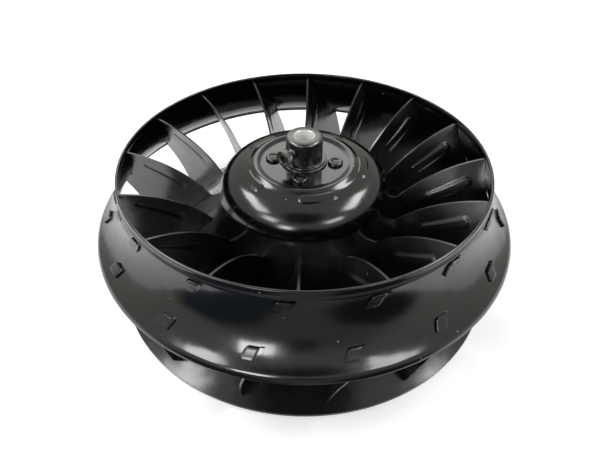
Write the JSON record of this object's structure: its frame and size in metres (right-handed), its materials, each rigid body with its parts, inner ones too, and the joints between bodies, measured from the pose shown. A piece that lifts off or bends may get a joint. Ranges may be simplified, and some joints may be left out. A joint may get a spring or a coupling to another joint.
{
  "type": "fan wheel",
  "caption": "Black pressed-steel mixed-flow blower wheel: flared inlet ring, dished back plate, ribbed curved blades held by folded tabs, riveted steel hub with a radial clamp screw.",
  "frame": {"origin": "on the shaft axis, at the level of the underside of the back plate's outer edge, which the wheel stands on", "axes": "+Z along the shaft axis towards the inlet; +X and +Y as seen from the inlet side, +Y away from the picture's camera"},
  "size_m": [0.345, 0.345, 0.1273],
  "materials": {
    "black_paint": "glossy black paint on pressed steel",
    "hub_steel": "turned steel, black outside with a bright bore",
    "rivet_paint": "steel rivets under the black paint",
    "screw_steel": "blackened alloy steel, worn bright on the edges"
  },
  "bodies": {
    "root": {"front_shroud": "black_paint", "back_plate": "black_paint", "hub": "hub_steel", "hub_rivets": "rivet_paint", "clamp_screw": "screw_steel", "blade_01": "black_paint", "blade_02": "black_paint", "blade_03": "black_paint", "blade_04": "black_paint", "blade_05": "black_paint", "blade_06": "black_paint", "blade_07": "black_paint", "blade_08": "black_paint", "blade_09": "black_paint", "blade_10": "black_paint", "blade_11": "black_paint", "blade_12": "black_paint", "blade_13": "black_paint", "blade_14": "black_paint", "blade_15": "black_paint", "blade_16": "black_paint"}
  },
  "joints": []
}
